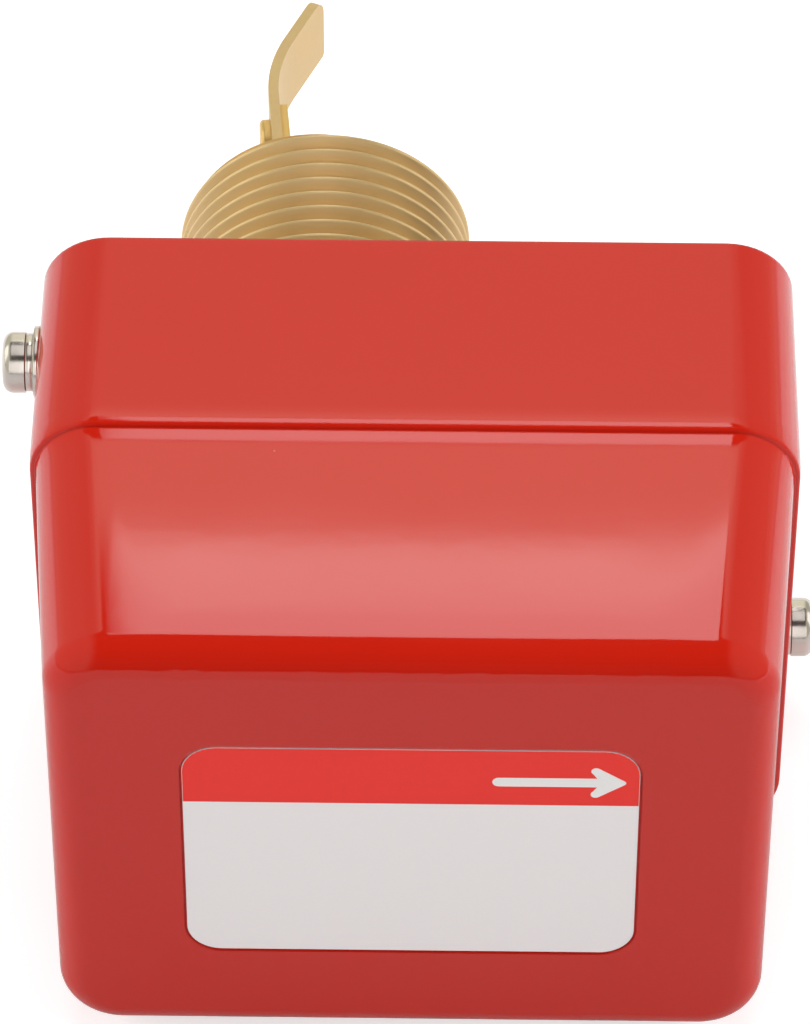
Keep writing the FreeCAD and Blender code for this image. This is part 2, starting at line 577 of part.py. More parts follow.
def makeBracket():
    owner = newBody("Bracket")
    outsideZ = "(Sizes.cheekInside + Sizes.bracketThick)"
    foot = newSketch(owner, "XZ_Plane", "-Places.webInner")
    slabOutline(foot, "0", "0", "Sizes.bracketFoot / 2", outsideZ)
    pad(owner, foot, "Sizes.bracketThick")
    upper = newSketch(owner, "XY_Plane", "Sizes.cheekInside")
    half = "Sizes.upperCheekWidth / 2"
    outline(upper, [("-%s" % half, "Places.webInner"), ("-%s" % half, "Places.pivot"),
                    (half, "Places.pivot"), (half, "Places.webInner")],
            {1: ("0", "Places.pivot", "left")})
    pad(owner, upper, "Sizes.bracketThick")
    plate = newSketch(owner, "XY_Plane", "-%s" % outsideZ)
    neck = "Places.pivot - Sizes.cheekPast"
    farRight = "Sizes.switchStart + Sizes.switchLength - Sizes.plateEdge"
    farLeft = "Places.tabFace - Sizes.bracketThick"
    farLow = "Places.switchBack + Sizes.plateEdge"
    tabLow = "Places.rangeAxis - Sizes.rangeTabWidth / 2"
    tabHigh = "Places.rangeAxis + Sizes.rangeTabWidth / 2"
    outline(plate, [("-Sizes.bracketFoot / 2", "Places.webInner"), ("-Sizes.bracketFoot / 2", neck),
                    (farLeft, tabHigh), (farLeft, tabLow),
                    ("Sizes.switchStart", tabLow), ("Sizes.switchStart + Sizes.plateSlope", farLow),
                    (farRight, farLow), (farRight, "Places.switchFront"),
                    ("Sizes.bracketFoot / 2", neck), ("Sizes.bracketFoot / 2", "Places.webInner")])
    pad(owner, plate, "Sizes.bracketThick")
    tab = newSketch(owner, "YZ_Plane", farLeft)
    outline(tab, [(tabLow, "-%s" % outsideZ), (tabHigh, "-%s" % outsideZ),
                  (tabHigh, "Places.switchMiddle"), (tabLow, "Places.switchMiddle")],
            {2: ("Places.rangeAxis", "Places.switchMiddle", "left")})
    pad(owner, tab, "Sizes.bracketThick")
    hole = newSketch(owner, "YZ_Plane", farLeft)
    circle(hole, "Places.rangeAxis", "Places.switchMiddle", "Sizes.rangeScrewRadius + Sizes.runGap")
    pocket(owner, hole, "Sizes.bracketThick", Reversed=True)
    openings = newSketch(owner, "XZ_Plane", "-Places.webInner")
    circle(openings, "0", "0", "Sizes.spigotRadius + Sizes.looseGap")
    for x, z in fixingSpots:
        circle(openings, x, z, "Sizes.fixingRadius + Sizes.looseGap")
    pocket(owner, openings, "Sizes.bracketThick", Reversed=True)
    pivots = newSketch(owner, "XY_Plane")
    circle(pivots, "0", "Places.pivot", "Sizes.pinRadius + Sizes.pressGap")
    pocket(owner, pivots)
    mounts = newSketch(owner, "XY_Plane", "-%s" % outsideZ)
    for x in mountSpots:
        circle(mounts, x, "Places.switchFront - Sizes.switchHeight / 2", "Sizes.mountRadius")
    pocket(owner, mounts, "Sizes.bracketThick", Reversed=True)
    keep("bracket", owner)


def makePivotPins():
    pins = []
    for sign, direction in (("1", "+z"), ("-1", "-z")):
        start = "%s * (Places.rockerInside - Sizes.pinPast)" % sign
        length = "Sizes.cheekInside + Sizes.bracketThick - Places.rockerInside + Sizes.pinPast"
        seat = "%s * (Sizes.cheekInside + Sizes.bracketThick)" % sign
        pins.append(joined([cylinder("Sizes.pinRadius", length, "0", "Places.pivot", start, direction),
                            cylinder("Sizes.pinHead", "Sizes.pinHeadHeight", "0", "Places.pivot", seat,
                                     direction)]))
    group("pivot_pins", pins)


# ---- moving arm: rocker, bellows cap, lever and paddle leaf ----

def makeRocker():
    owner = newBody("Rocker")
    inside, outside = "Places.rockerInside", "(Places.rockerInside + Sizes.rockerThick)"
    tip = "Places.pivot + Sizes.rockerEye"
    stirrup = newSketch(owner, "YZ_Plane")
    outline(stirrup, [("Places.rockerBack", "-%s" % outside), (tip, "-%s" % outside), (tip, "-%s" % inside),
                      ("Places.capBack", "-%s" % inside), ("Places.capBack", inside), (tip, inside),
                      (tip, outside), ("Places.rockerBack", outside)])
    pad(owner, stirrup, "Sizes.rockerHalf * 2", Midplane=True)
    tipY = value(tip)
    soften(owner, "Fillet", "Sizes.rockerEye", lambda edge: isAlong(edge, alongZ) and isAtY(edge, tipY))
    arm = newSketch(owner, "XZ_Plane", "-Places.capBack")
    armHalf = "Sizes.armWidth / 2"
    middle = "Places.switchMiddle"
    outline(arm, [("Places.tailFace", "%s - %s" % (middle, armHalf)),
                  ("Places.plungerX", "%s - %s" % (middle, armHalf)),
                  ("Places.plungerX", "%s + %s" % (middle, armHalf)),
                  ("Places.tailFace", "%s + %s" % (middle, armHalf))],
            {1: ("Places.plungerX", middle, "left")})
    pad(owner, arm, "Sizes.rockerThick")
    tail = newSketch(owner, "YZ_Plane", "Places.tailFace")
    tailHalf = "Sizes.tailWidth / 2"
    outline(tail, [("Places.capBack", "%s - %s" % (middle, tailHalf)),
                   ("Places.capBack", "%s + %s" % (middle, tailHalf)),
                   ("Places.rangeAxis", "%s + %s" % (middle, tailHalf)),
                   ("Places.rangeAxis", "%s - %s" % (middle, tailHalf))],
            {2: ("Places.rangeAxis", middle, "left")})
    pad(owner, tail, "Sizes.rockerThick")
    eyes = newSketch(owner, "XY_Plane")
    circle(eyes, "0", "Places.pivot", "Sizes.pinRadius + Sizes.runGap")
    pocket(owner, eyes)
    studHole = newSketch(owner, "XZ_Plane", "-Places.capBack")
    circle(studHole, "0", "0", "Sizes.studRadius + Sizes.pressGap")
    pocket(owner, studHole, "Sizes.rockerThick", Reversed=True)
    keep("rocker", owner)


def leant(thing):
    """Set a piece that was made along the lever on the lever's lean."""
    thing.Placement = Placement(Vector(value("Sizes.leverShift"), value("Places.bellowsEnd"), 0),
                                Rotation(alongZ, value("Sizes.leverLean")))
    return bind(thing, Placement_Base_x="Sizes.leverShift", Placement_Base_y="Places.bellowsEnd",
                Placement_Rotation_Angle="Sizes.leverLean")


def makeLever():
    """Round rod whose outer end is milled down to a tongue for the leaf."""
    rod = newBody("LeverRod")
    sketch = newSketch(rod, "XY_Plane")
    outline(sketch, [("0", "Sizes.leverFoot"), ("Sizes.leverRadius", "Sizes.leverFoot"),
                     ("Sizes.leverRadius", "Sizes.leverLength"), ("0", "Sizes.leverLength")])
    turned(rod, sketch)
    start = "Sizes.leverLength - Sizes.tongueLength"
    end = "Sizes.leverLength + Sizes.cutPast"
    past = "Sizes.leverRadius + Sizes.cutPast"
    half = "Sizes.tongueThick / 2"
    for side in ("-1", "1"):
        flats = newSketch(rod, "XY_Plane")
        near, far = "%s * %s" % (side, half), "%s * (%s)" % (side, past)
        outline(flats, [(near, start), (far, start), (far, end), (near, end)])
        pocket(rod, flats)
    holes = newSketch(rod, "YZ_Plane")
    for y in leafScrews:
        circle(holes, y, "0", "Sizes.leafScrewRadius + Sizes.pressGap")
    pocket(rod, holes)
    leant(rod)
    shoulder = cylinder("Sizes.shoulderRadius", "Sizes.shoulderHeight", "0", "Places.bellowsEnd", "0", "+y")
    studEnd = "Places.rockerBack - Sizes.studNutThick - Sizes.screwSpare"
    stud = cylinder("Sizes.studRadius", "Places.bellowsEnd - (%s)" % studEnd, "0", studEnd, "0", "+y")
    keep("lever", joined([rod, shoulder, stud]))


def makeArm():
    keep("bellows_cap", ring("Sizes.capRadius", "Sizes.studRadius + Sizes.pressGap", "Sizes.capThick", "0",
                             "Places.bellowsEnd", "0", "-y"))
    makeLever()
    nut = prism("Sizes.studNutAcross", "Sizes.studNutThick", "0", "Places.rockerBack", "0", "-y")
    hole = cylinder("Sizes.studRadius + Sizes.pressGap", "Sizes.studNutThick", "0", "Places.rockerBack",
                    "0", "-y")
    keep("lever_nut", cutFrom(nut, [hole]))


leafScrews = ("Sizes.leverLength - Sizes.leafScrewInset",
              "Sizes.leverLength - Sizes.leafScrewInset - Sizes.leafScrewPitch")


def makeLeaf():
    """Strip that runs along the lever's tongue, then bends to the flow side."""
    owner = newBody("Leaf")
    sketch = newSketch(owner, "XY_Plane")
    near, far = "-Sizes.tongueThick / 2", "-Sizes.tongueThick / 2 - Sizes.leafThick"
    start = "Sizes.leverLength - Sizes.leafOverlap"
    bendY = "(Sizes.leverLength + Sizes.leafStraight)"
    bendX = "(%s + Sizes.leafBend)" % near
    inner, outer = "Sizes.leafBend", "(Sizes.leafBend + Sizes.leafThick)"

    def bendEnd(radius, past="0"):
        """Point on the face of that radius, past the end of the bend."""
        return ("%s - %s * cos(Sizes.leafLean) + %s * sin(Sizes.leafLean)" % (bendX, radius, past),
                "%s + %s * sin(Sizes.leafLean) + %s * cos(Sizes.leafLean)" % (bendY, radius, past))

    tip = bendEnd(inner, "Sizes.leafTip")
    outline(sketch, [(near, start), (near, bendY), bendEnd(inner), tip, bendEnd(outer, "Sizes.leafTip"),
                     bendEnd(outer), (far, bendY), (far, start)],
            {1: (bendX, bendY, "right"), 5: (bendX, bendY, "left")})
    pad(owner, sketch, "Sizes.leafWidth", Midplane=True)
    tipY = value(tip[1])
    for side, corner in ((1, "Sizes.leafCorner"), (-1, "Sizes.leafCornerLow")):
        soften(owner, "Fillet", corner,
               lambda edge: edge.Length < value("Sizes.leafThick * 1.01") and edge.CenterOfMass.y > tipY
               and edge.CenterOfMass.z * side > 0)
    holes = newSketch(owner, "YZ_Plane", "%s - Sizes.cutPast" % far)
    for y in leafScrews:
        circle(holes, y, "0", "Sizes.leafScrewRadius + Sizes.pressGap")
    pocket(owner, holes, "Sizes.leafThick + Sizes.cutPast", Reversed=True)
    keep("paddle", leant(owner))
    screws = []
    for y in leafScrews:
        screws.append(panScrew("Sizes.leafScrewRadius", "Sizes.leafThick + Sizes.tongueThick",
                               "Sizes.leafHead", "Sizes.leafHeadHeight", far, y, "0", "-x",
                               isRound=True))
    compound = doc.addObject("Part::Compound", "Group")
    compound.Links = screws
    keep("paddle_screws", leant(compound))


def makeBellows():
    owner = newBody("Bellows")
    sketch = newSketch(owner, "XY_Plane")
    skin = "3 * Sizes.bellowsSkin"
    cuff = "Sizes.bellowsCuff"
    count = 2 * int(sizes["bellowsWaves"])
    step = "((Sizes.bellowsLength - 2 * %s) / %d)" % (cuff, count)
    crests = [("Sizes.bellowsOuter" if k % 2 else "Sizes.bellowsInner",
               "Places.foot - %s - %d * %s" % (cuff, k, step)) for k in range(count + 1)]
    wall = [(crests[0][0], "Places.foot")] + crests + [(crests[-1][0], "Places.bellowsEnd")]
    inside = [("%s - %s" % (radius, skin), y) for radius, y in reversed(wall)]
    outline(sketch, wall + inside)
    turned(owner, sketch)
    keep("bellows", owner)


# ---- range adjustment: screw in the tab, travelling nut and spring ----

def makeRange():
    place = ("Places.rangeAxis", "Places.switchMiddle")
    outside = "Places.tabFace - Sizes.bracketThick"
    keep("range_screw", panScrew("Sizes.rangeScrewRadius", "Sizes.rangeScrewLength", "Sizes.rangeHead",
                                 "Sizes.rangeHeadHeight", "%s - Sizes.touchGap" % outside, *place, "-x"))
    keep("range_clip", ring("Sizes.rangeHead", "Sizes.rangeScrewRadius + Sizes.pressGap", "Sizes.clipThick",
                            "Places.tabFace + Sizes.touchGap", *place, "+x"))
    nutX = "Places.springBack - Sizes.rangeNutThick"
    plate = box(nutX, "Places.springBack", "Places.rangeAxis - Places.nutHalf",
                "Places.rangeAxis + Places.nutHalf", "Places.plateTop + Sizes.touchGap",
                "Places.switchMiddle + Places.nutHalf")
    hole = cylinder("Sizes.rangeScrewRadius + Sizes.runGap", "Sizes.rangeNutThick", nutX, *place, "+x")
    keep("range_nut", cutFrom(plate, [hole]))
    owner = newBody("Spring")
    sketch = newSketch(owner, "XZ_Plane")
    slabOutline(sketch, "Sizes.springRadius", "Sizes.springWire", "Sizes.springWire", "Sizes.springWire")
    coil = owner.newObject("PartDesign::AdditiveHelix", "Coil")
    coil.Profile = sketch
    coil.ReferenceAxis = (sketch, ["V_Axis"])
    coil.Mode = "height-turns-angle"
    bind(coil, Height="Sizes.springLength - 2 * Sizes.springWire", Turns="Sizes.springTurns")
    doc.recompute()
    keep("range_spring", put(owner, "Places.springBack + Sizes.touchGap", *place, "+x"))


# ---- microswitch ----

mountSpots = ["Places.switchCentre + %d * Sizes.mountPitch / 2" % sign for sign in (-1, 1)]
terminalSpots = ["Places.switchCentre + %d * Sizes.terminalPitch" % k for k in (-1, 0, 1)]


def makePlunger():
    """Plunger with a domed tip, in its own guide in the case and the bush."""
    owner = newBody("Plunger")
    sketch = newSketch(owner, "XY_Plane")
    tip = "Sizes.switchDepth - Sizes.touchGap"
    dome = "Sizes.plungerDome"
    domeRadius = "(Sizes.plungerRadius * Sizes.plungerRadius + %s * %s) / (2 * %s)" % (dome, dome, dome)
    outline(sketch, [("0", "-Sizes.plungerReach"), ("Sizes.plungerRadius", "-Sizes.plungerReach"),
                     ("Sizes.plungerRadius", "%s - %s" % (tip, dome)), ("0", tip)],
            {2: ("0", "%s - %s" % (tip, domeRadius), "left")})
    turned(owner, sketch)
    keep("switch_plunger", put(owner, "Places.plungerX", "Places.switchFront", "Places.switchMiddle"))


def makeSwitch():
    low = "Places.switchBottom"
    split = "(%s + Sizes.switchWidth - Sizes.switchLid)" % low
    centreX = "Places.switchCentre"
    centreY = "Places.switchFront - Sizes.switchHeight / 2"
    halves = {"switch_case": (low, "Sizes.switchWidth - Sizes.switchLid"),
              "switch_lid": (split, "Sizes.switchLid")}
    for label, (depth, thick) in halves.items():
        owner = newBody(label)
        sketch = newSketch(owner, "XY_Plane", depth)
        roundOutline(sketch, centreX, centreY, "Sizes.switchLength / 2", "Sizes.switchHeight / 2",
                     "Sizes.switchCorner")
        pad(owner, sketch, thick)
        holes = newSketch(owner, "XY_Plane", depth)
        for x in mountSpots:
            circle(holes, x, centreY, "Sizes.mountRadius")
        pocket(owner, holes, thick, Reversed=True)
        if label == "switch_case":
            guide = newSketch(owner, "XZ_Plane", "-Places.switchFront")
            circle(guide, "Places.plungerX", "Places.switchMiddle", "Sizes.plungerRadius + Sizes.runGap")
            pocket(owner, guide, "Sizes.plungerReach + Sizes.plungerTravel + Sizes.looseGap", Reversed=True)
        keep(label, owner)
    keep("switch_bush", ring("Sizes.plungerRadius + Sizes.bushWall", "Sizes.plungerRadius + Sizes.runGap",
                             "Sizes.bushRise", "Places.plungerX", "Places.switchFront",
                             "Places.switchMiddle", "+y"))
    makePlunger()
    plate = newBody("Insulator")
    sketch = newSketch(plate, "XY_Plane", "Places.plateTop")
    roundOutline(sketch, centreX, centreY, "Sizes.switchLength / 2 - Sizes.insulatorInset",
                 "Sizes.switchHeight / 2 - Sizes.insulatorInset", "Sizes.switchCorner")
    for x in mountSpots:
        circle(sketch, x, centreY, "Sizes.mountRadius")
    pad(plate, sketch, "Sizes.insulatorThick")
    keep("switch_insulator", plate)
    top = "%s + Sizes.switchWidth" % low
    group("switch_screws", [panScrew("Sizes.mountRadius - Sizes.runGap",
                                     "Sizes.switchWidth + Sizes.insulatorThick + Sizes.bracketThick"
                                     " + Sizes.switchScrewPast",
                                     "Sizes.fixingHead", "Sizes.fixingHeadHeight", x, centreY, top, "+z")
                            for x in mountSpots])
    tabs, screws = [], []
    for x in terminalSpots:
        half = "Sizes.terminalWidth / 2"
        tab = box("%s - %s" % (x, half), "%s + %s" % (x, half), "Places.switchBack - Sizes.terminalThick",
                  "Places.switchBack", "Places.switchMiddle - %s" % half, "Places.switchMiddle + %s" % half)
        hole = cylinder("Sizes.terminalScrew + Sizes.pressGap", "Sizes.terminalThick", x, "Places.switchBack",
                        "Places.switchMiddle", "-y")
        tabs.append(cutFrom(tab, [hole]))
        screws.append(panScrew("Sizes.terminalScrew", "Sizes.terminalThick", "Sizes.terminalHead",
                               "Sizes.terminalHeadHeight", x, "Places.switchBack - Sizes.terminalThick",
                               "Places.switchMiddle", "-y"))
    group("switch_terminals", tabs)
    group("terminal_screws", screws)


makeCover()
makeBase()
makeCoverScrews()
makeGrommet()
makeEarthScrew()
makeFitting()
makeBracket()
makePivotPins()
makeRocker()
makeArm()
makeLeaf()
makeBellows()
makeRange()
makeSwitch()
doc.recompute()

faults = [item.Name for item in doc.Objects if "Invalid" in item.State or "Error" in item.State]
faults += [label for label, item in parts.items() if item.Shape.isNull() or not item.Shape.isValid()]
if faults:
    raise RuntimeError("these objects failed: " + ", ".join(faults))

os.makedirs("parts", exist_ok=True)
for label, item in parts.items():
    item.Shape.exportStep("parts/%s.step" % label)
    print("%-20s %2d solids %9.1f mm3" % (label, len(item.Shape.Solids), item.Shape.Volume))
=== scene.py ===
# Paddle flow switch: red enamelled box cover, brass one-inch pipe thread, brass lever and paddle leaf.
import json
import math

import bmesh
import bpy
from mathutils import Matrix, Vector

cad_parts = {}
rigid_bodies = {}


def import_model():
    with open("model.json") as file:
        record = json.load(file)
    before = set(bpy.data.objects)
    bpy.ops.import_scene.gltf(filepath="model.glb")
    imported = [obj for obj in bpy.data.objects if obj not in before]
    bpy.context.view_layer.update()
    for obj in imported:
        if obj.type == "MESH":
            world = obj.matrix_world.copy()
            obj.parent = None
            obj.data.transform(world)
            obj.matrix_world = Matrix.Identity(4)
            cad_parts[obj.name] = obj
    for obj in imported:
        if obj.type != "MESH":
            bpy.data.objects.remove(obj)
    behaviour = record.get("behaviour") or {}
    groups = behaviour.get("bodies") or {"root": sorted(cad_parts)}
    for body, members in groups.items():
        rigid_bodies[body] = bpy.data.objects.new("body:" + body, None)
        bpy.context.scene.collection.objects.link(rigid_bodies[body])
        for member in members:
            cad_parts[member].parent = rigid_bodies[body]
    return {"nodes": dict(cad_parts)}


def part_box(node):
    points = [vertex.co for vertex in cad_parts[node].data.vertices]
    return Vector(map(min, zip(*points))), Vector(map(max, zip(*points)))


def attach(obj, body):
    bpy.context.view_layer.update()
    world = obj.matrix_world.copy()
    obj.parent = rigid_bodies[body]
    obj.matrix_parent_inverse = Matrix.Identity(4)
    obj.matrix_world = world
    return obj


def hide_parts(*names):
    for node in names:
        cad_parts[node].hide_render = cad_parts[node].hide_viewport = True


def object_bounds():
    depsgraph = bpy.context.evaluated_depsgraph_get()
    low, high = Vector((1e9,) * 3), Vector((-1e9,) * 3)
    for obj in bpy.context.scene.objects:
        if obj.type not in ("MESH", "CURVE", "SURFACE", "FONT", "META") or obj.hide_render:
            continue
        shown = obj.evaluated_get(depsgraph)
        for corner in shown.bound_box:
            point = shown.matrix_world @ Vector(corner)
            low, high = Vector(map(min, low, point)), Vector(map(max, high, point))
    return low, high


mm = 0.001
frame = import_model()
nodes = frame["nodes"]
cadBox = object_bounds()
print("stage: frame loaded,", len(nodes), "nodes")


def hexToLinear(text):
    channels = [int(text[i:i + 2], 16) / 255 for i in (0, 2, 4)]
    return [c / 12.92 if c <= 0.04045 else ((c + 0.055) / 1.055) ** 2.4 for c in channels] + [1.0]


def addObject(name, data):
    thing = bpy.data.objects.new(name, data)
    bpy.context.scene.collection.objects.link(thing)
    return thing


# ---- camera: looks down on the end face, from high in front of it ----
view = {
    "place": (15.4, -471.8, 460.6),  # mm
    "down": 45.63,  # degrees below level
    "turn": -0.73,
    "roll": 0.06,
    "lens": 207.84,
    "nearest": 0.01,  # m
}


def makeCamera():
    down, turn, roll = (math.radians(view[key]) for key in ("down", "turn", "roll"))
    ahead = Vector((math.sin(turn) * math.cos(down), math.cos(turn) * math.cos(down), -math.sin(down)))
    side = Vector((math.cos(turn), -math.sin(turn), 0))
    up = side.cross(ahead)
    sideRolled = math.cos(roll) * side + math.sin(roll) * up
    upRolled = math.cos(roll) * up - math.sin(roll) * side
    data = bpy.data.cameras.new("studioCamera")
    data.lens, data.clip_start = view["lens"], view["nearest"]
    camera = addObject("studioCamera", data)
    camera.matrix_world = Matrix.Translation(Vector(view["place"]) * mm) @ Matrix(
        (sideRolled, upRolled, -ahead)).transposed().to_4x4()
    bpy.context.scene.camera = camera


makeCamera()
print("stage: camera placed")


# ---- mesh helpers ----
weldGap = 0.0005 * mm  # points nearer than this are one point
flatAngle = math.radians(0.5)  # faces that meet flatter than this are one face


def meshObject(name, shape):
    mesh = bpy.data.meshes.new(name)
    shape.to_mesh(mesh)
    shape.free()
    return addObject(name, mesh)


def newPiece(name, shape, body, sharpAngle=30):
    piece = meshObject(name, shape)
    for layer in ("custom_normal", "sharp_edge", "sharp_face"):
        if layer in piece.data.attributes:
            piece.data.attributes.remove(piece.data.attributes[layer])
    piece.data.shade_smooth()
    piece.data.set_sharp_from_angle(angle=math.radians(sharpAngle))
    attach(piece, body)
    return piece


def weldedCopy(node, flatten=True):
    # the solid's own mesh with its doubled points joined, free to be reshaped
    shape = bmesh.new()
    shape.from_mesh(nodes[node].data)
    bmesh.ops.remove_doubles(shape, verts=shape.verts, dist=weldGap)
    if flatten:
        bmesh.ops.dissolve_limit(shape, angle_limit=flatAngle, verts=shape.verts, edges=shape.edges)
    return shape


def sliceAt(shape, along, **settings):
    # cuts the faces where they pass a place along Y, in mm
    return bmesh.ops.bisect_plane(shape, geom=shape.verts[:] + shape.edges[:] + shape.faces[:],
                                  plane_co=(0, along * mm, 0), plane_no=(0, 1, 0), **settings)


def lathe(profile, steps):
    # closed ring of (radius, along) points in mm, turned about the Y axis
    shape = bmesh.new()
    rings = [[shape.verts.new((r * math.sin(a) * mm, y * mm, r * math.cos(a) * mm)) for r, y in profile]
             for a in (2 * math.pi * k / steps for k in range(steps))]
    for k in range(steps):
        here, there = rings[k], rings[(k + 1) % steps]
        for j in range(len(profile)):
            i = (j + 1) % len(profile)
            shape.faces.new((here[j], there[j], there[i], here[i]))
    bmesh.ops.recalc_face_normals(shape, faces=shape.faces)
    return shape


def combine(shape, tools, kind):
    # exact boolean of a mesh with a list of closed meshes
    body = meshObject("combineBody", shape)
    made = [body]
    for tool in tools:
        other = meshObject("combineTool", tool)
        step = body.modifiers.new("step", "BOOLEAN")
        step.object, step.operation, step.solver = other, kind, "EXACT"
        made.append(other)
    bpy.context.view_layer.update()
    result = bmesh.new()
    result.from_mesh(body.evaluated_get(bpy.context.evaluated_depsgraph_get()).to_mesh())
    for item in made:
        bpy.data.objects.remove(item)
    return result


# ---- cover: the pressed step runs out softly into the walls on both sides ----
step = {
    "ledge": -39.0,  # mm, where the skirt ends
    "corner": 7.4,  # outer corner radius of the skirt
    "outerFrom": 6.35,  # a point this far or more from the corner's centre is on the outside
    "split": 6.9,  # between the skirt's and the upper part's outside
    "skirtSink": 0.14,  # how far each wall leaves its plane at the ledge
    "upperSwell": 0.10,
    "fade": 0.75,  # mm over which that dies away
    "gone": 3.0,  # mm from the ledge, where nothing is left of it
    "cuts": (0.3, 0.55, 0.85, 1.2, 1.6, 2.1, 2.9),  # mm from the ledge, where the walls get points
    "sharpAngle": 35,
}


def rolledCover():
    shape = weldedCopy("cover", flatten=False)
    for away in [side * cut for cut in step["cuts"] for side in (-1, 1)]:
        sliceAt(shape, step["ledge"] + away)
    low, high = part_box("cover")
    reach = step["corner"] * mm
    for vert in shape.verts:
        above = vert.co.y / mm - step["ledge"]
        if abs(above) > step["gone"]:
            continue
        near = Vector((min(max(vert.co.x, low.x + reach), high.x - reach), vert.co.y,
                       min(max(vert.co.z, low.z + reach), high.z - reach)))
        out = vert.co - near
        far = out.length / mm
        if far < step["outerFrom"]:
            continue
        onSkirt = above > 0.001 or far > step["split"]
        leave = -step["skirtSink"] if onSkirt else step["upperSwell"]
        vert.co += out.normalized() * leave * math.exp(-abs(above) / step["fade"]) * mm
    bmesh.ops.recalc_face_normals(shape, faces=shape.faces)
    piece = newPiece("coverShell", shape, "housing", step["sharpAngle"])
    level = piece.modifiers.new("flatFacesFirst", "WEIGHTED_NORMAL")
    level.keep_sharp = True
    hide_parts("cover")
    return piece


coverPiece = rolledCover()
print("stage: cover's step rolled")


# ---- pipe fitting: real thread form on the turned brass body ----
thread = {
    "crest": 16.4,
    "pitch": 2.309,  # 11 threads to the inch
    "flank": 55,  # degrees between the flanks
    "depth": 0.6403,  # of the pitch
    "round": 0.1373,  # of the pitch, at crest and root
    "length": 23.1,
    "chamfer": 0.9,
    "bore": 11.0,
    "steps": 168,
    "start": 0.15,  # of a turn, where the groove comes nearest to +Z
    "spare": 2,  # turns past each end, cut away again
    "clear": 0.01,  # mm between the crests and the blank that the thread is cut to
    "shoulder": 0.03,  # mm past the hexagon's shoulder, where the solid is cut off
    "sharpAngle": 40,
}


def threadForm():
    # one pitch of the rounded form, as (share of the pitch, radius), from a root's middle
    pitch, crest, rounding = thread["pitch"], thread["crest"], thread["round"] * thread["pitch"]
    root = crest - thread["depth"] * pitch
    sweep = math.pi / 2 - math.radians(thread["flank"] / 2)
    angles = [k * sweep / 3 for k in range(4)]
    rootArc = [(rounding * math.sin(a), root + rounding * (1 - math.cos(a))) for a in angles]
    crestArc = [(pitch / 2 - rounding * math.sin(a), crest - rounding * (1 - math.cos(a))) for a in reversed(angles)]
    flankMiddle = [(pitch / 4, (root + crest) / 2)]
    halfTurn = rootArc + flankMiddle + crestArc
    back = [(pitch - y, r) for y, r in reversed(halfTurn[1:-1])]
    return [(y / pitch, r) for y, r in halfTurn + back]


def threadRod():
    form = threadForm()
    turns = int(thread["length"] / thread["pitch"]) + 2 * thread["spare"]
    rows = [(turn + share, radius) for turn in range(turns) for share, radius in form]
    steps, low = thread["steps"], -thread["spare"] - thread["start"]
    shape = bmesh.new()
    grid = []
    for k in range(steps):
        turn = 2 * math.pi * k / steps
        grid.append([shape.verts.new((radius * math.sin(turn) * mm, (low + place + k / steps) * thread["pitch"] * mm,
                                      radius * math.cos(turn) * mm)) for place, radius in rows])
    for k in range(steps):
        here, there = grid[k], grid[(k + 1) % steps]
        shift = len(form) if k == steps - 1 else 0  # the last step joins on one turn up
        for j in range(len(rows) - 1 - shift):
            shape.faces.new((here[j], there[j + shift], there[j + shift + 1], here[j + 1]))
    bmesh.ops.holes_fill(shape, edges=[edge for edge in shape.edges if edge.is_boundary], sides=0)
    bmesh.ops.triangulate(shape, faces=[face for face in shape.faces if len(face.verts) > 4])
    bmesh.ops.recalc_face_normals(shape, faces=shape.faces)
    return shape


def makeThread():
    crest, length, chamfer = thread["crest"] + thread["clear"], thread["length"], thread["chamfer"]
    blank = lathe([(thread["bore"], 0), (crest, 0), (crest, length - chamfer), (crest - chamfer, length),
                   (thread["bore"], length)], thread["steps"])
    return combine(blank, [threadRod()], "INTERSECT")


def makeHexagon():
    # the solid's hexagon and spigot, cut off just past the shoulder, where the thread starts
    shape = weldedCopy("pipe_fitting")
    cut = sliceAt(shape, thread["shoulder"], clear_outer=True)
    rim = [edge for edge in cut["geom_cut"] if isinstance(edge, bmesh.types.BMEdge)]
    bmesh.ops.triangle_fill(shape, edges=rim, use_beauty=True)
    bmesh.ops.recalc_face_normals(shape, faces=shape.faces)
    return shape


threadPiece = newPiece("pipeThread", makeThread(), "housing", thread["sharpAngle"])
hexagonPiece = newPiece("fittingHexagon", makeHexagon(), "housing")
for piece in (threadPiece, hexagonPiece):
    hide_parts("pipe_fitting")
print("stage: thread and hexagon made")


# ---- screws with their driver recesses, and washers with broken edges ----
crossRecess = {
    "turns": (0, math.pi / 2),  # radians, one for each blade of the driver
    "first": 0.5,  # how the first screw is turned
    "next": 1.0,  # and how much further each next one is
    "span": 3.5,  # mm
    "width": 0.75,
    "depth": 1.5,
}
slotRecess = {"turns": (0,), "first": 1.1, "next": 0.9, "span": 9.0, "width": 0.7, "depth": 0.65}
blade = {"tipSpan": 0.45, "tipWidth": 0.7, "backWidth": 1.25}  # shares of the span and the width
washers = {
    "edge": 0.16,  # mm
    "sharpAngle": 40,
    "lockTurn": 2.6,  # radians: the split lies away from the front
}
leverLean = math.radians(5.3)


def islands(shape):
    # the points of each separate screw or washer, taken in the mesh's own order, the same each run
    left, groups = set(shape.verts), []
    for first in shape.verts:
        if first not in left:
            continue
        left.remove(first)
        todo, group = [first], []
        while todo:
            vert = todo.pop()
            group.append(vert)
            for edge in vert.link_edges:
                other = edge.other_vert(vert)
                if other in left:
                    left.remove(other)
                    todo.append(other)
        groups.append(group)
    return groups


def middleOf(group):
    low, high = (Vector([pick(vert.co[k] for vert in group) for k in range(3)]) for pick in (min, max))
    return (low + high) / 2


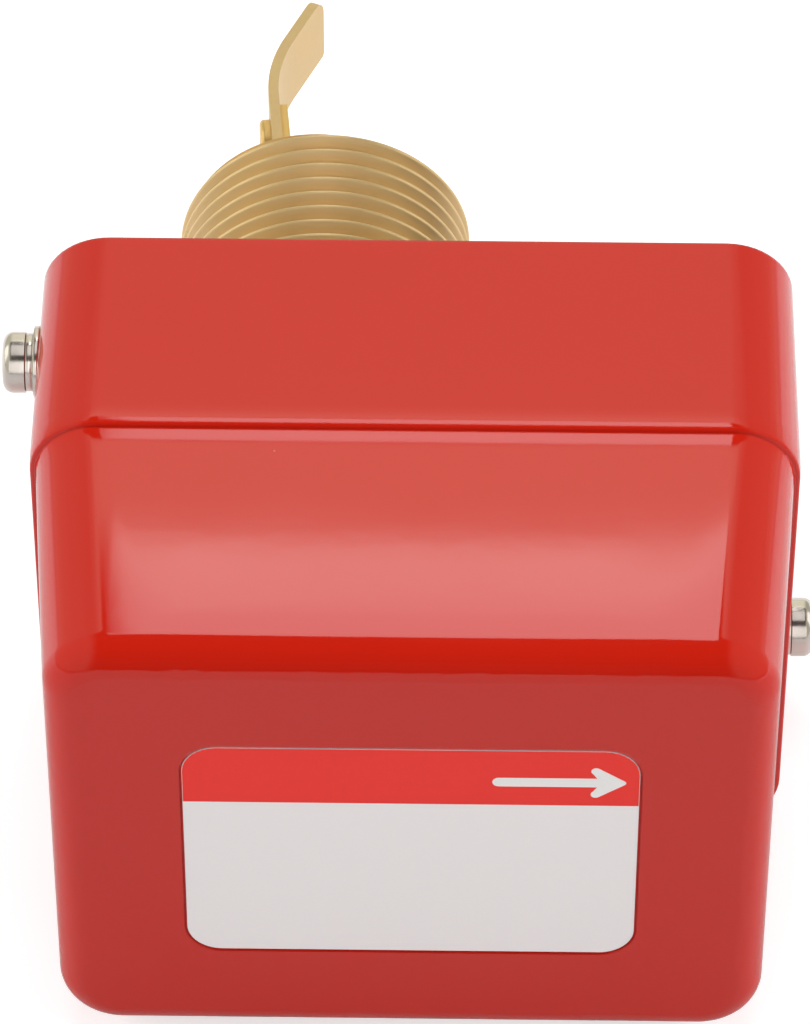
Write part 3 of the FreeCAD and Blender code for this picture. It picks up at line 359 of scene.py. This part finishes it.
def headEnds(shape, along):
    # the outermost point on each screw's own axis, and the way that its head faces
    ends = []
    for group in islands(shape):
        middle = middleOf(group)
        reach = [(vert.co - middle).dot(along) for vert in group]
        wide = [max((vert.co - middle - r * along).length for vert, r in zip(group, reach) if sign * r > 0)
                for sign in (-1, 1)]
        facing = along if wide[1] > wide[0] else -along
        far = max((vert.co - middle).dot(facing) for vert in group)
        ends.append((middle + far * facing, facing))
    return ends


def driverBlade(point, facing, turn, recess):
    # a driver blade's shape, a little narrower at its tip, running out of the head
    side = facing.orthogonal().normalized()
    side.rotate(Matrix.Rotation(turn, 3, facing))
    across = facing.cross(side)
    shape = bmesh.new()
    corners = []
    for deep, shareLong, shareWide in ((-recess["depth"], blade["tipSpan"], blade["tipWidth"]),
                                       (1.0, 1.0, blade["backWidth"])):
        for a, b in ((-1, -1), (1, -1), (1, 1), (-1, 1)):
            corners.append(shape.verts.new(point + (facing * deep + side * a * recess["span"] / 2 * shareLong
                                                    + across * b * recess["width"] / 2 * shareWide) * mm))
    for face in ((3, 2, 1, 0), (4, 5, 6, 7), (0, 1, 5, 4), (1, 2, 6, 5), (2, 3, 7, 6), (3, 0, 4, 7)):
        shape.faces.new([corners[k] for k in face])
    bmesh.ops.recalc_face_normals(shape, faces=shape.faces)
    return shape


def recessedScrews(node, name, body, along, recess):
    shape = weldedCopy(node)
    tools = [driverBlade(point, facing, turn + recess["first"] + recess["next"] * k, recess)
             for k, (point, facing) in enumerate(headEnds(shape, along)) for turn in recess["turns"]]
    piece = newPiece(name, combine(shape, tools, "DIFFERENCE"), body)
    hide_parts(node)
    return piece


def softenedWashers(node, name, body, turn):
    shape = weldedCopy(node)
    limit = math.radians(washers["sharpAngle"])
    sharp = [edge for edge in shape.edges if edge.is_manifold and edge.calc_face_angle() > limit]
    bmesh.ops.bevel(shape, geom=sharp, offset=washers["edge"] * mm, segments=2, profile=0.5, affect="EDGES")
    for group in islands(shape):
        bmesh.ops.rotate(shape, verts=group, cent=middleOf(group), matrix=Matrix.Rotation(turn, 3, "X"))
    piece = newPiece(name, shape, body)
    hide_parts(node)
    return piece


acrossCover = Vector((1, 0, 0))
acrossLever = Vector((math.cos(leverLean), -math.sin(leverLean), 0))
coverScrews = recessedScrews("cover_screws", "coverScrews", "housing", acrossCover, crossRecess)
lockWashers = softenedWashers("cover_lock_washers", "coverLockWashers", "housing",
                              washers["lockTurn"])
flatWashers = softenedWashers("cover_flat_washers", "coverFlatWashers", "housing", 0.0)
leafScrews = recessedScrews("paddle_screws", "leafScrews", "paddle_arm", acrossLever, slotRecess)
print("stage: screws cut")


# ---- printed label: red header with a plain flow arrow ----
label = {
    "headerLow": 7.5,  # mm, lower edge of the header
    "corner": 3.6,
    "inset": 0.05,
    "print": 0.03,  # mm, thickness of the ink
    "sink": 0.01,  # mm, how deep its underside lies in what it is printed on
    "arrowTail": 19.2,
    "arrowTip": 32.9,
    "arrowMiddle": 11.0,
    "arrowShaft": 1.3,
    "arrowHead": 3.65,
    "arrowHigh": 4.5,
    "arrowNotch": 0.65,
    "arrowBarb": 0.5,  # radius of the head's two rear corners
    "arrowNose": 0.3,  # and of its point
    "noseInset": 0.35,
}


def labelFace():
    # a point on the label's outer face and the face's normal
    outer = max((p for p in nodes["label"].data.polygons if p.normal.y < -0.9), key=lambda p: p.area)
    return outer.center.copy(), outer.normal.copy()


def printed(outline, name, lift):
    # a thin film of ink with the given outline of (x, z) points in mm, laid on the label's face
    point, normal = labelFace()
    shape = bmesh.new()
    layers = []
    for height in (lift - label["sink"], lift + label["print"]):
        layer = []
        for x, z in outline:
            y = point.y + (normal.x * (point.x - x * mm) + normal.z * (point.z - z * mm)) / normal.y
            layer.append(shape.verts.new(Vector((x * mm, y, z * mm)) + normal * height * mm))
        layers.append(layer)
    shape.faces.new(layers[0])
    shape.faces.new(list(reversed(layers[1])))
    for k in range(len(outline)):
        i = (k + 1) % len(outline)
        shape.faces.new((layers[0][k], layers[0][i], layers[1][i], layers[1][k]))
    bmesh.ops.recalc_face_normals(shape, faces=shape.faces)
    return newPiece(name, shape, "housing")


def arc(x, z, radius, start, end, steps=8):
    return [(x + radius * math.cos(math.radians(start + (end - start) * k / steps)),
             z + radius * math.sin(math.radians(start + (end - start) * k / steps))) for k in range(steps + 1)]


def makeHeader():
    low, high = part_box("label")
    inset, corner = label["inset"], label["corner"] - label["inset"]
    left, right, top = low.x / mm + inset, high.x / mm - inset, high.z / mm - inset
    outline = ([(left, label["headerLow"]), (right, label["headerLow"])]
               + arc(right - corner, top - corner, corner, 0, 90)
               + arc(left + corner, top - corner, corner, 90, 180))
    return printed(outline, "labelHeader", 0)


def makeArrow():
    z, half = label["arrowMiddle"], label["arrowShaft"] / 2
    high, barb = label["arrowHigh"] / 2, label["arrowBarb"]
    neck = label["arrowTip"] - label["arrowHead"]
    upper = (arc(label["arrowTip"] - label["noseInset"], z, label["arrowNose"], 0, 55, 3)
             + arc(neck + barb, z + high - barb, barb, 60, 235)
             + [(neck + label["arrowNotch"], z + half)])
    lower = [(x, 2 * z - y) for x, y in reversed(upper)]
    tail = arc(label["arrowTail"] + half, z, half, 90, 270)
    return printed(upper + tail + lower, "labelArrow", label["print"])


headerPiece = makeHeader()
arrowPiece = makeArrow()
print("stage: label printed")


# ---- materials ----
def addNode(tree, kind, inputs=None, **settings):
    # an input is a socket to link from, or a plain value
    node = tree.nodes.new("ShaderNode" + kind)
    for name, value in settings.items():
        setattr(node, name, value)
    for name, value in (inputs or {}).items():
        if isinstance(value, bpy.types.NodeSocket):
            tree.links.new(value, node.inputs[name])
        else:
            node.inputs[name].default_value = value
    return node


def newMaterial(name, values):
    # starts a material: its shader, and object coordinates in millimetres
    material = bpy.data.materials.new(name)
    material.use_nodes = True
    tree = material.node_tree
    tree.nodes.clear()
    shader = addNode(tree, "BsdfPrincipled", values)
    addNode(tree, "OutputMaterial", {"Surface": shader.outputs["BSDF"]})
    place = addNode(tree, "TexCoord").outputs["Object"]
    place = addNode(tree, "VectorMath", {0: place, 1: (1000, 1000, 1000)}, operation="MULTIPLY").outputs[0]
    return material, tree, shader, place


def layFinish(tree, shader, tone, grain, look):
    # the tone drifts between two colours, and the grain varies the shine and stands up as relief
    first, second = (hexToLinear(colour) for colour in look["colours"])
    colour = addNode(tree, "Mix", {0: tone.outputs["Fac"], 6: first, 7: second}, data_type="RGBA")
    tree.links.new(colour.outputs[2], shader.inputs["Base Color"])
    start, end = look.get("grainSpan", (0.0, 1.0))
    rough = addNode(tree, "MapRange", {"Value": grain.outputs["Fac"], "From Min": start, "From Max": end,
                                       "To Min": look["rough"][0], "To Max": look["rough"][1]})
    tree.links.new(rough.outputs[0], shader.inputs["Roughness"])
    if "relief" in look:
        bump = addNode(tree, "Bump", {"Height": grain.outputs["Fac"], "Strength": look.get("strength", 0.5),
                                      "Distance": look["relief"] * mm})
        tree.links.new(bump.outputs[0], shader.inputs["Normal"])


enamel = {
    "colours": ("C61D0C", "CA200E"),
    "cloudsPerMm": 0.03,  # 30 mm clouds of tone
    "speckColour": "E88A78",
    "specksPerMm": 0.11,  # room for a speck to each 9 mm, and half of them are there
    "speckSize": (0.012, 0.018),  # of that room: full up to the first, gone at the second
    "hazePerMm": 0.08,  # 12 mm patches, a little duller
    "rough": (0.03, 0.08),
    "peelPerMm": 0.55,  # 1.8 mm orange peel
    "peelDepth": 0.005,  # mm
    "edge": 0.4,  # mm, how far the paint rounds the pressed edges
}


def redEnamel():
    # stoved red enamel sprayed on pressed steel: deep, glossy, a faint orange peel and settled dust
    material, tree, shader, place = newMaterial("redEnamelSprayedOnSteel", {"IOR": 1.5})
    drift = addNode(tree, "TexNoise", {"Vector": place, "Scale": enamel["cloudsPerMm"], "Detail": 2.0})
    first, second = (hexToLinear(colour) for colour in enamel["colours"])
    colour = addNode(tree, "Mix", {0: drift.outputs["Fac"], 6: first, 7: second}, data_type="RGBA")
    specks = addNode(tree, "TexVoronoi", {"Vector": place, "Scale": enamel["specksPerMm"]})
    near = addNode(tree, "MapRange", {"Value": specks.outputs["Distance"], "From Min": enamel["speckSize"][0],
                                      "From Max": enamel["speckSize"][1], "To Min": 0.5, "To Max": 0.0})
    draw = addNode(tree, "SeparateColor", {"Color": specks.outputs["Color"]})
    picked = addNode(tree, "Math", {0: draw.outputs[0], 1: 0.5}, operation="GREATER_THAN")
    speck = addNode(tree, "Math", {0: near.outputs[0], 1: picked.outputs[0]}, operation="MULTIPLY")
    colour = addNode(tree, "Mix", {0: speck.outputs[0], 6: colour.outputs[2], 7: hexToLinear(enamel["speckColour"])},
                     data_type="RGBA")
    tree.links.new(colour.outputs[2], shader.inputs["Base Color"])
    haze = addNode(tree, "TexNoise", {"Vector": place, "Scale": enamel["hazePerMm"], "Detail": 4.0})
    rough = addNode(tree, "MapRange", {"Value": haze.outputs["Fac"], "To Min": enamel["rough"][0],
                                       "To Max": enamel["rough"][1]})
    tree.links.new(rough.outputs[0], shader.inputs["Roughness"])
    peel = addNode(tree, "TexNoise", {"Vector": place, "Scale": enamel["peelPerMm"], "Detail": 1.0})
    bevel = addNode(tree, "Bevel", {"Radius": enamel["edge"] * mm}, samples=8)
    bump = addNode(tree, "Bump", {"Height": peel.outputs["Fac"], "Normal": bevel.outputs[0], "Strength": 0.3,
                                  "Distance": enamel["peelDepth"] * mm})
    tree.links.new(bump.outputs[0], shader.inputs["Normal"])
    return material


skins = {
    # screen-printed polyester film: near-white, semi-gloss, a trace of 0.3 mm grain
    "whitePolyesterFilmPrinted": {"colours": ("F2ECEC", "F5F0EF"), "rough": (0.38, 0.48), "grainPerMm": 3.0,
                                  "detail": 3.0, "relief": 0.004, "strength": 0.3},
    # screen ink: flat and even, slightly duller than the film, with the 0.25 mm mesh of the screen
    "redScreenInk": {"colours": ("F1291D", "F52C20"), "rough": (0.4, 0.5), "grainPerMm": 4.0, "detail": 2.0},
    "whiteScreenInk": {"colours": ("F0EEEC", "F5F3F1"), "rough": (0.4, 0.5), "grainPerMm": 4.0, "detail": 2.0},
    # moulded rubber: black and dull
    "blackRubberMoulded": {"colours": ("181818", "222221"), "rough": (0.54, 0.66), "grainPerMm": 2.0,
                           "detail": 3.0, "relief": 0.01},
    # phenolic from a polished mould: dark brown with a low shine
    "brownPhenolicMoulded": {"colours": ("2B211C", "352A24"), "rough": (0.28, 0.40), "grainPerMm": 1.5,
                             "detail": 3.0, "relief": 0.006},
    # pressed insulating board: grey-green and matt
    "fishPaperPressed": {"colours": ("6F7A70", "7C877C"), "rough": (0.64, 0.76), "grainPerMm": 3.0,
                         "detail": 3.0, "relief": 0.01},
    # moulded nylon: even red with a soft shine
    "redNylonMoulded": {"colours": ("A8201A", "B42A22"), "rough": (0.29, 0.41), "grainPerMm": 2.0,
                        "detail": 3.0, "relief": 0.004},
}


def skinned(name):
    # an even skin of film, ink, rubber, plastic or board: one fine grain for tone, shine and relief
    look = skins[name]
    material, tree, shader, place = newMaterial(name, {"IOR": 1.5})
    grain = addNode(tree, "TexNoise", {"Vector": place, "Scale": look["grainPerMm"], "Detail": look["detail"]})
    layFinish(tree, shader, grain, grain, look)
    return material


metals = {
    # turned brass: pale yellow, its shine spread across the tool's marks, which run round the thread
    "brassTurned": {"colours": ("EACB96", "F0D3A2"), "rough": (0.42, 0.52), "worked": (1, 12, 1),
                    "marksPerMm": 0.6, "relief": 0.004, "turned": 0.6},
    # brushed sheet brass: warmer, with fine marks along the leaf
    "brassSheetBrushed": {"colours": ("DDBE8C", "E2C593"), "rough": (0.40, 0.50), "worked": (1, 1, 8),
                          "marksPerMm": 1.2, "relief": 0.004},
    # drawn brass rod: deeper yellow, with marks along the rod
    "brassRodDrawn": {"colours": ("E3BC76", "E8C480"), "rough": (0.34, 0.44), "worked": (6, 1, 6),
                      "marksPerMm": 0.8, "relief": 0.003},
    # barrel-plated nickel on steel: bright, a little pink, with small dents that break up its mirror
    "nickelPlatedSteel": {"colours": ("D6CCC4", "DED5CD"), "rough": (0.14, 0.26), "worked": (1, 1, 1),
                          "marksPerMm": 0.7, "relief": 0.02},
    # zinc plate on rolled steel: bluish grey and satin
    "zincPlatedSteel": {"colours": ("C3C8CC", "D2D5D6"), "rough": (0.24, 0.40), "worked": (1, 3, 1),
                        "marksPerMm": 0.7, "relief": 0.004},
    # formed phosphor bronze: reddish, drawn thin and smooth
    "phosphorBronzeFormed": {"colours": ("C98F62", "D39C70"), "rough": (0.22, 0.34), "worked": (1, 4, 1),
                             "marksPerMm": 0.8, "relief": 0.003},
    # coiled spring wire: dark grey with a shine
    "springSteelWire": {"colours": ("A9AAAD", "B7B8BA"), "rough": (0.22, 0.34), "worked": (1, 1, 1),
                        "marksPerMm": 1.5, "relief": 0.002},
}


def metal(name):
    # worked metal: fine marks, closer together across the way it was worked, and 7 mm clouds of tone
    look = metals[name]
    turned = look.get("turned", 0.0)
    material, tree, shader, place = newMaterial(name, {"Metallic": 1.0, "Anisotropic": turned,
                                                       "Anisotropic Rotation": 0.25 if turned else 0.0})
    if turned:
        tangent = addNode(tree, "Tangent", direction_type="RADIAL", axis="Y")
        tree.links.new(tangent.outputs[0], shader.inputs["Tangent"])
    worked = addNode(tree, "VectorMath", {0: place, 1: look["worked"]}, operation="MULTIPLY")
    marks = addNode(tree, "TexNoise", {"Vector": worked.outputs[0], "Scale": look["marksPerMm"], "Detail": 4.0})
    drift = addNode(tree, "TexNoise", {"Vector": place, "Scale": 0.15, "Detail": 3.0})
    layFinish(tree, shader, drift, marks, {"grainSpan": (0.3, 0.7), **look})
    return material


def dress(material, *pieces):
    for piece in pieces:
        piece = nodes[piece] if isinstance(piece, str) else piece
        if not piece.material_slots:
            piece.data.materials.append(material)
        for slot in piece.material_slots:
            slot.material = material


dress(redEnamel(), coverPiece)
dress(skinned("whitePolyesterFilmPrinted"), "label")
dress(skinned("redScreenInk"), headerPiece)
dress(skinned("whiteScreenInk"), arrowPiece)
dress(metal("brassTurned"), threadPiece, hexagonPiece)
dress(metal("brassSheetBrushed"), "paddle")
dress(metal("brassRodDrawn"), "lever", leafScrews, "bellows_cap", "lever_nut", "range_nut", "switch_terminals",
      "earth_washer", "earth_screw")
dress(metal("nickelPlatedSteel"), coverScrews, lockWashers, flatWashers, "pivot_pins", "switch_bush",
      "terminal_screws")
dress(metal("zincPlatedSteel"), "base_pan", "weld_nuts", "fixing_screws", "bracket", "rocker", "switch_screws",
      "range_screw")
dress(metal("phosphorBronzeFormed"), "bellows")
dress(metal("springSteelWire"), "range_spring", "range_clip")
dress(skinned("blackRubberMoulded"), "cable_grommet")
dress(skinned("brownPhenolicMoulded"), "switch_case", "switch_lid")
dress(skinned("fishPaperPressed"), "switch_insulator")
dress(skinned("redNylonMoulded"), "switch_plunger")
print("stage: materials given")


# ---- studio: white floor, soft key behind and above, fill from above and in front ----
studio = {
    "floorSpan": 6.0,  # m
    "floorColour": "D3D3D3",
    "floorSeen": 0.6,  # the floor's own glow for the camera, so that its lit part is white
    "floorMirrored": 0.05,  # what the floor in front adds to reflections
    "floorBehind": 0.46,  # and the floor behind
    "floorTurns": (-0.1, 0.05),  # m along Y, from the one to the other
    "ambience": 0.225,  # the world's light on matt surfaces
    "darkRoom": 0.05,  # how bright the room overhead and in front reflects
    "horizon": 0.72,  # how bright the wall behind reflects near the floor
    "roomTint": (1, 1, 0.84, 1),
    "keyRadiance": 2.45,
    "keyWide": 0.175,  # m
    "keyAway": 0.8,
    "keyRise": (50.2, 61),  # degrees, its edges as seen from the cover's top
    "keySeenFrom": (19, -54, 30.3),  # mm
    "target": (0.01, 0, 0),  # m, what the other lamps point at
    "metalRadiance": 0.75,
    "floodHigh": 0.7,  # m
}
softboxes = {  # place and size in m, power in W; no mirror ray sees them
    "topSoftbox": {"place": (0.01, 0.25, 0.8), "size": (0.6, 0.5), "power": 2.6},
    "lowSoftbox": {"place": (0.01, -0.8, 0.25), "size": (0.6, 0.4), "power": 1.65},
    "leftSoftbox": {"place": (-0.79, -0.1, 0.35), "size": (0.7, 0.6), "power": 4.4},
    "rightSoftbox": {"place": (0.81, -0.1, 0.35), "size": (0.7, 0.6), "power": 5.1},
}
floods = {  # place and width in m
    "frontFlood": {"place": (0.01, -0.8, 0.38), "wide": 1.1},
    "leftFlood": {"place": (-0.8, 0.1, 0.45), "wide": 0.6},
    "rightFlood": {"place": (0.82, 0.1, 0.45), "wide": 0.6},
    "topFlood": {"place": (0.01, 0.0, 0.95), "wide": 0.5},
    "frontStrip": {"place": (-0.01, -0.75, 0.36), "wide": 0.16},
}
# what mirror rays see: as a ray's way along an axis goes from the first number to the second, the
# level goes from the third to the fourth
room = {
    "sides": ("X", -0.5, 0.5, 0.62, 0.5),  # the left wall is a little brighter
    "sidesStart": ("aside", 0.22, 0.5, 0.0, 1.0),
    "rise": ("Z", 0.69, 0.766, 1.0, 1.75),  # the wall behind is brighter up to the key
    "riseNarrows": ("aside", 0.03, 0.36, 1.0, 0.0),
    "horizon": ("Z", 0.0, 0.2, 1.0, 0.0),
    "overhead": ("Z", 0.767, 0.78, 1.0, 0.0),
    "behind": ("Y", -0.1, 0.3, 0.0, 1.0),
}
white = (1, 1, 1, 1)


def makeFloor():
    shape = bmesh.new()
    half = studio["floorSpan"] / 2
    shape.faces.new([shape.verts.new((x * half, y * half, cadBox[0].z))
                     for x, y in ((-1, -1), (1, -1), (1, 1), (-1, 1))])
    floor = meshObject("studioFloor", shape)
    material = bpy.data.materials.new("whitePaperFloor")
    material.use_nodes = True
    tree = material.node_tree
    tree.nodes.clear()
    matt = addNode(tree, "BsdfDiffuse", {"Color": hexToLinear(studio["floorColour"])})
    path = addNode(tree, "LightPath")
    straight = addNode(tree, "Math", {0: path.outputs["Is Camera Ray"], 1: path.outputs["Is Transmission Ray"]},
                       operation="MAXIMUM")
    place = addNode(tree, "SeparateXYZ", {0: addNode(tree, "TexCoord").outputs["Object"]})
    start, end = studio["floorTurns"]
    back = addNode(tree, "MapRange", {"Value": place.outputs["Y"], "From Min": start, "From Max": end,
                                      "To Min": studio["floorMirrored"], "To Max": studio["floorBehind"]},
                   interpolation_type="SMOOTHSTEP")
    mirrored = addNode(tree, "Math", {0: path.outputs["Is Glossy Ray"], 1: back.outputs[0]}, operation="MULTIPLY")
    level = addNode(tree, "Math", {0: straight.outputs[0], 1: studio["floorSeen"], 2: mirrored.outputs[0]},
                    operation="MULTIPLY_ADD")
    glow = addNode(tree, "Emission", {"Color": white, "Strength": level.outputs[0]})
    both = addNode(tree, "AddShader", {0: matt.outputs[0], 1: glow.outputs[0]})
    addNode(tree, "OutputMaterial", {"Surface": both.outputs[0]})
    dress(material, floor)


def makeWorld():
    # matt surfaces get an even light; mirror rays see a room that is white behind the object, brighter
    # up to the key, and dark overhead and in front; the camera sees plain white
    world = bpy.data.worlds.new("studioRoom")
    bpy.context.scene.world = world
    world.use_nodes = True
    tree = world.node_tree
    tree.nodes.clear()
    way = addNode(tree, "SeparateXYZ", {0: addNode(tree, "TexCoord").outputs["Generated"]}).outputs
    aside = addNode(tree, "Math", {0: way["X"]}, operation="ABSOLUTE").outputs[0]
    along = {"X": way["X"], "Y": way["Y"], "Z": way["Z"], "aside": aside}
    fade = {}
    for name, (axis, start, end, first, last) in room.items():
        fade[name] = addNode(tree, "MapRange", {"Value": along[axis], "From Min": start, "From Max": end,
                                                "To Min": first, "To Max": last},
                             interpolation_type="SMOOTHSTEP").outputs[0]
    wall = addNode(tree, "Mix", {0: fade["riseNarrows"], 2: fade["sides"], 3: fade["rise"]}).outputs[0]
    wall = addNode(tree, "Mix", {0: fade["horizon"], 2: wall, 3: studio["horizon"]}).outputs[0]
    for limit in ("overhead", "behind"):
        wall = addNode(tree, "Math", {0: wall, 1: fade[limit]}, operation="MULTIPLY").outputs[0]
    sides = addNode(tree, "Math", {0: fade["sides"], 1: fade["sidesStart"]}, operation="MULTIPLY").outputs[0]
    seen = addNode(tree, "Math", {0: wall, 1: sides}, operation="MAXIMUM").outputs[0]
    seen = addNode(tree, "Math", {0: seen, 1: studio["darkRoom"]}, operation="MAXIMUM").outputs[0]
    path = addNode(tree, "LightPath")
    straight = addNode(tree, "Math", {0: path.outputs["Is Camera Ray"], 1: path.outputs["Is Transmission Ray"]},
                       operation="MAXIMUM")
    matt = addNode(tree, "Background", {"Color": white, "Strength": studio["ambience"]})
    mirrored = addNode(tree, "Background", {"Color": studio["roomTint"], "Strength": seen})
    plain = addNode(tree, "Background", {"Color": white, "Strength": 1.0})
    light = addNode(tree, "MixShader", {0: path.outputs["Is Glossy Ray"], 1: matt.outputs[0],
                                        2: mirrored.outputs[0]})
    light = addNode(tree, "MixShader", {0: straight.outputs[0], 1: light.outputs[0], 2: plain.outputs[0]})
    addNode(tree, "OutputWorld", {"Surface": light.outputs[0]})


def areaLamp(name, place, target, size, power, glossy=False, onlyFor=None):
    data = bpy.data.lights.new(name, "AREA")
    data.shape, data.energy = "RECTANGLE", power
    data.size, data.size_y = size
    lamp = addObject(name, data)
    lamp.location = place
    lamp.rotation_euler = (Vector(target) - Vector(place)).to_track_quat("-Z", "Y").to_euler()
    lamp.visible_glossy = glossy
    if onlyFor:
        lamp.light_linking.receiver_collection = onlyFor


def powerOf(radiance, size):
    # the power that makes a lamp's face this bright
    return radiance * 4 * size[0] * size[1]


def makeKey():
    # hangs behind and above the object
    seenFrom = Vector(studio["keySeenFrom"]) * mm
    edges = [seenFrom + studio["keyAway"] * Vector((0, math.cos(a), math.sin(a)))
             for a in map(math.radians, studio["keyRise"])]
    size = (studio["keyWide"], (edges[1] - edges[0]).length)
    areaLamp("keySoftbox", (edges[0] + edges[1]) / 2, seenFrom, size, powerOf(studio["keyRadiance"], size), True)


def makeFloods():
    # bare metal also mirrors soft light from in front and from the sides, which flags keep off the enamel
    bareMetal = bpy.data.collections.new("bareMetal")
    for piece in bpy.context.scene.objects:
        if any(slot.material and slot.material.name in metals for slot in piece.material_slots):
            bareMetal.objects.link(piece)
    for name, flood in floods.items():
        size = (flood["wide"], studio["floodHigh"])
        areaLamp(name, flood["place"], studio["target"], size, powerOf(studio["metalRadiance"], size), True,
                 bareMetal)


makeFloor()
makeWorld()
makeKey()
for name, box in softboxes.items():
    areaLamp(name, box["place"], studio["target"], box["size"], box["power"])
makeFloods()
bpy.context.scene.view_settings.view_transform = "Standard"
print("stage: studio lit")
